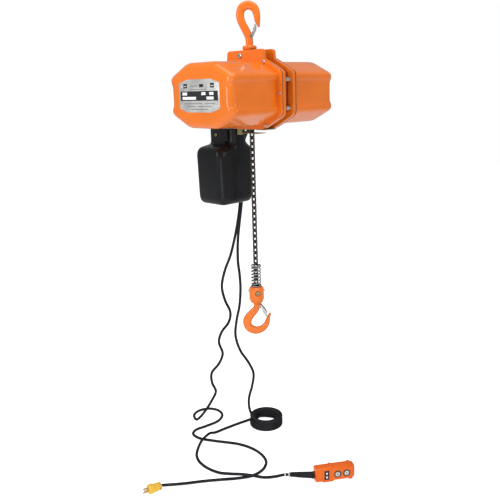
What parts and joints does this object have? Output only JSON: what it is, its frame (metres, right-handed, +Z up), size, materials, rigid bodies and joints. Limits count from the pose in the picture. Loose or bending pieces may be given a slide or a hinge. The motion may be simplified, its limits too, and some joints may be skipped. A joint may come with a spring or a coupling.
{
  "type": "chain hoist",
  "caption": "Electric chain hoist with swivel top hook, split orange housing, chain container, hook block, power cord and push-button pendant.",
  "frame": {"origin": "saddle of the top hook, where the load bears", "axes": "+Z up along the load line, +X along the body from the nameplate end to the motor end, -Y the side that the view looks at"},
  "size_m": [0.7697, 0.815, 1.679],
  "materials": {
    "orange_paint": "gloss enamel",
    "oxide_paint": "satin primer",
    "gasket_rubber": "matte",
    "zinc_steel": "bright zinc",
    "yellow_zinc": "yellow zinc",
    "plate_metal": "satin",
    "cast_iron": "machined",
    "cast_aluminium": "as cast",
    "copper_winding": "varnished",
    "black_plastic": "satin moulded",
    "ivory_plastic": "satin",
    "core_steel": "laminated",
    "chain_steel": "black oxide",
    "cord_rubber": "satin",
    "yellow_plastic": "satin",
    "blade_brass": "drawn",
    "pendant_orange": "gloss",
    "bezel_chrome": "polished",
    "button_white": "gloss"
  },
  "bodies": {
    "hoist": {"front_frame": "orange_paint", "rear_frame": "orange_paint", "front_cover": "orange_paint", "rear_cover": "orange_paint", "cover_gaskets": "gasket_rubber", "cover_screws": "zinc_steel", "nameplate": "plate_metal", "limit_switch": "black_plastic", "spacer_posts": "zinc_steel", "chain_housing": "oxide_paint", "chain_guide": "cast_iron", "guide_plates": "yellow_zinc", "crosshead": "cast_iron", "crosshead_bolt": "zinc_steel", "thrust_washer_top": "zinc_steel", "gear_case": "cast_aluminium", "shaft_bearings": "zinc_steel", "motor_housing": "cast_aluminium", "stator": "copper_winding", "end_bell": "cast_aluminium", "brake_coil": "copper_winding", "capacitors": "black_plastic", "contactors": "ivory_plastic", "transformer": "core_steel", "chain_container": "black_plastic", "chain_fall": "chain_steel", "chain_wrap": "chain_steel", "chain_slack": "chain_steel", "cord_glands": "black_plastic", "power_cord": "cord_rubber", "plug_body": "yellow_plastic", "plug_blades": "blade_brass", "pendant_cord_upper": "cord_rubber", "pendant_cord_coil": "cord_rubber", "pendant_cord_lower": "cord_rubber", "pendant_boot": "cord_rubber", "pendant_case": "pendant_orange", "pendant_fittings": "bezel_chrome"},
    "top_hook": {"top_hook": "orange_paint", "top_collar": "orange_paint", "top_nut": "cast_iron"},
    "top_latch": {"top_latch": "zinc_steel"},
    "wheel": {"load_wheel": "cast_iron", "load_shaft": "zinc_steel", "load_gear": "cast_iron"},
    "mid_gear": {"intermediate_gear": "cast_iron"},
    "rotor": {"motor_shaft": "zinc_steel", "rotor_core": "cast_iron", "brake_disc": "cast_iron", "cooling_fan": "black_plastic"},
    "armature": {"brake_armature": "cast_iron"},
    "hook_block": {"block_halves": "orange_paint", "block_bolts": "yellow_zinc", "chain_pin": "zinc_steel", "stop_spring": "zinc_steel"},
    "lower_hook": {"lower_hook": "orange_paint"},
    "lower_latch": {"lower_latch": "zinc_steel"},
    "lever": {"limit_lever": "yellow_zinc"},
    "up_button": {"up_button": "button_white"},
    "down_button": {"down_button": "button_white"}
  },
  "joints": [
    {"name": "motor_spin", "type": "hinge", "parent": "hoist", "child": "rotor", "pos_m": [0, -0.08257, -0.27], "axis": [-1, 0, 0], "range_deg": [0, 24685.71]},
    {"name": "mid_gear_spin", "type": "hinge", "parent": "hoist", "child": "mid_gear", "pos_m": [-0.05, -0.03882, -0.27], "axis": [-1, 0, 0], "range_deg": [-4115.29, 1]},
    {"name": "wheel_spin", "type": "hinge", "parent": "hoist", "child": "wheel", "pos_m": [0, 0.03118, -0.27], "axis": [-1, 0, 0], "range_deg": [-1, 686.71]},
    {"name": "hook_lift", "type": "slide", "parent": "hoist", "child": "hook_block", "axis": [0, 0, 1], "range_m": [0, 0.4005], "deforming": ["chain_fall", "chain_wrap", "chain_slack"]},
    {"name": "top_hook_swivel", "type": "hinge", "parent": "hoist", "child": "top_hook", "pos_m": [0, 0, -0.15], "axis": [0, 0, 1], "continuous": true},
    {"name": "top_latch_hinge", "type": "hinge", "parent": "top_hook", "child": "top_latch", "pos_m": [0.00424, -0.00424, -0.086], "axis": [0.7071, 0.7071, 0], "range_deg": [-30, 0], "stiffness_Nm_per_rad": 0.05, "springref_deg": 17.19},
    {"name": "lower_hook_swivel", "type": "hinge", "parent": "hook_block", "child": "lower_hook", "pos_m": [0, 0, -0.99], "axis": [0, 0, 1], "continuous": true},
    {"name": "lower_latch_hinge", "type": "hinge", "parent": "lower_hook", "child": "lower_latch", "pos_m": [0.00849, -0.00849, -1.054], "axis": [0.7071, 0.7071, 0], "range_deg": [0, 30], "stiffness_Nm_per_rad": 0.05, "springref_deg": -17.19},
    {"name": "limit_lever_hinge", "type": "hinge", "parent": "hoist", "child": "lever", "pos_m": [0, 0.034, -0.409], "axis": [-1, 0, 0], "range_deg": [0, 7], "stiffness_Nm_per_rad": 0.5, "springref_deg": -11.46},
    {"name": "brake_release", "type": "slide", "parent": "hoist", "child": "armature", "axis": [1, 0, 0], "range_m": [-0.0004, 0], "stiffness_N_per_m": 20000},
    {"name": "up_button_press", "type": "slide", "parent": "hoist", "child": "up_button", "axis": [0.5592, 0.829, 0], "range_m": [0, 0.003], "stiffness_N_per_m": 600},
    {"name": "down_button_press", "type": "slide", "parent": "hoist", "child": "down_button", "axis": [0.5592, 0.829, 0], "range_m": [0, 0.003], "stiffness_N_per_m": 600}
  ],
  "couplings": [
    {"joint": "mid_gear_spin", "follows": "motor_spin", "ratio": -0.16667},
    {"joint": "wheel_spin", "follows": "motor_spin", "ratio": 0.027778},
    {"joint": "hook_lift", "follows": "motor_spin", "m_per_rad": 0.0009284}
  ]
}
